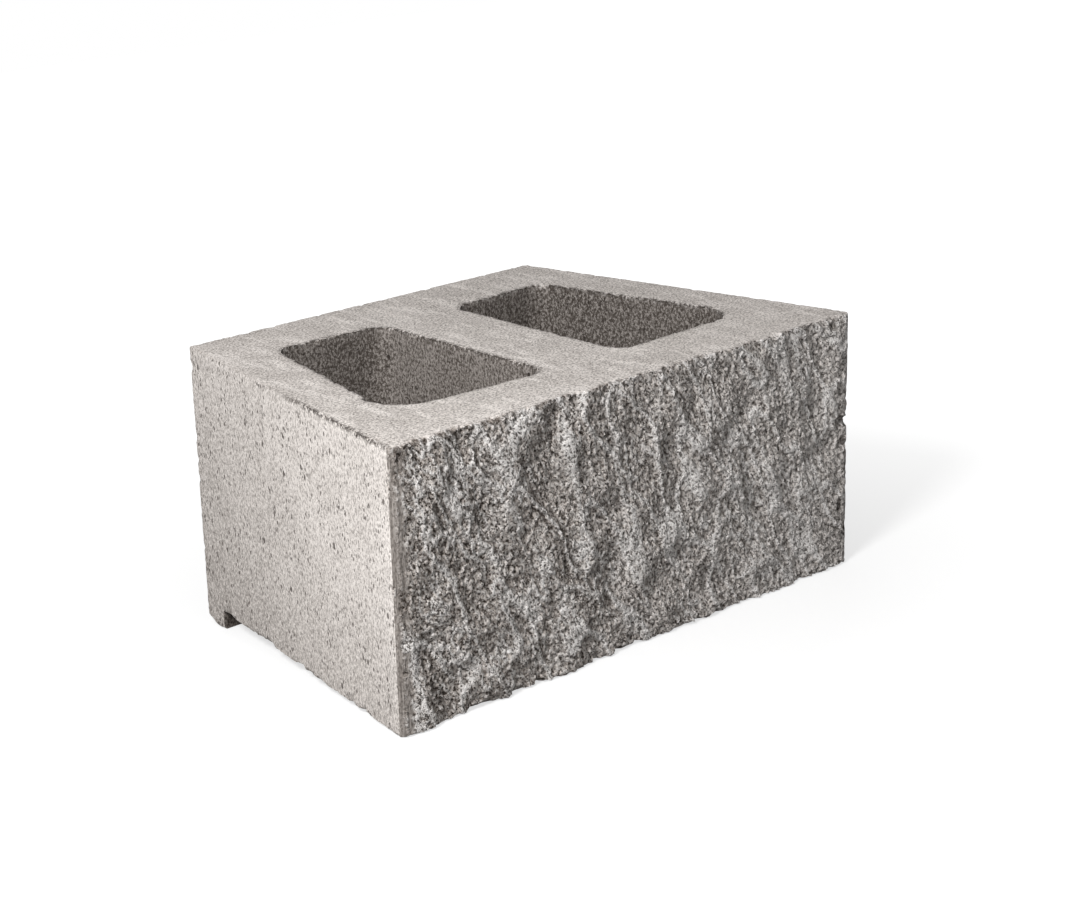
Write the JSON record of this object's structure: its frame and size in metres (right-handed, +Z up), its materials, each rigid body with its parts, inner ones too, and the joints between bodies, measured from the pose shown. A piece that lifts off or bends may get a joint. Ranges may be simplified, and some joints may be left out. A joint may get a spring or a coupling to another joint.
{
  "type": "retaining wall block",
  "caption": "Tapered concrete wall block with a split stone-like face, open cores and a rear lip that hooks over the course below.",
  "frame": {"origin": "centre of the block's box at the level of the lip's underside", "axes": "+X along the wall, +Y from the split face towards the soil, +Z up in the wall"},
  "size_m": [0.457, 0.3081, 0.218],
  "materials": {
    "concrete": "dry-cast concrete, smooth moulded beds and sides with fine pores, rough split front"
  },
  "bodies": {
    "root": {"retaining_wall_block": "concrete"}
  },
  "joints": []
}
